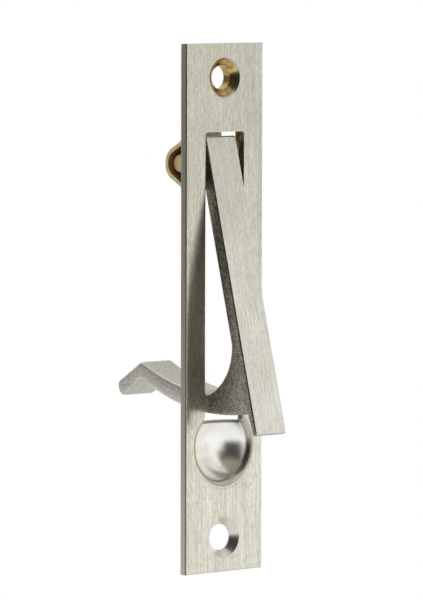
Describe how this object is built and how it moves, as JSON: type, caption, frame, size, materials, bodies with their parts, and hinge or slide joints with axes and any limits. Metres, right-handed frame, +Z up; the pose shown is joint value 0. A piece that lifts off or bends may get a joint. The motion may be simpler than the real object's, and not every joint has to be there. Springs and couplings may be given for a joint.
{
  "type": "pocket door edge pull",
  "caption": "Flat plate for a door's edge, with a finger bowl and a swing-out lever that pulls a pocket door from its recess.",
  "frame": {"origin": "on the plate's back face, halfway between the two screw holes", "axes": "+Z up along the plate, -Y out of the door's edge, +Y into the door, +X to the right as seen from the front"},
  "size_m": [0.019, 0.0389, 0.0984],
  "materials": {
    "plate_nickel": "satin nickel, brushed lengthwise",
    "lever_nickel": "satin nickel face, cast sides",
    "pin_brass": "plain turned",
    "strap_brass": "rolled sheet",
    "eyelet_brass": "rolled tube"
  },
  "bodies": {
    "plate": {"faceplate": "plate_nickel", "bearing_strap": "strap_brass", "eyelet": "eyelet_brass", "pivot_pin": "pin_brass"},
    "lever": {"lever": "lever_nickel"}
  },
  "joints": [
    {"name": "lever_swing", "type": "hinge", "parent": "plate", "child": "lever", "pos_m": [0, 0.0026, 0.027], "axis": [-1, 0, 0], "range_deg": [-14.5, 22]}
  ]
}
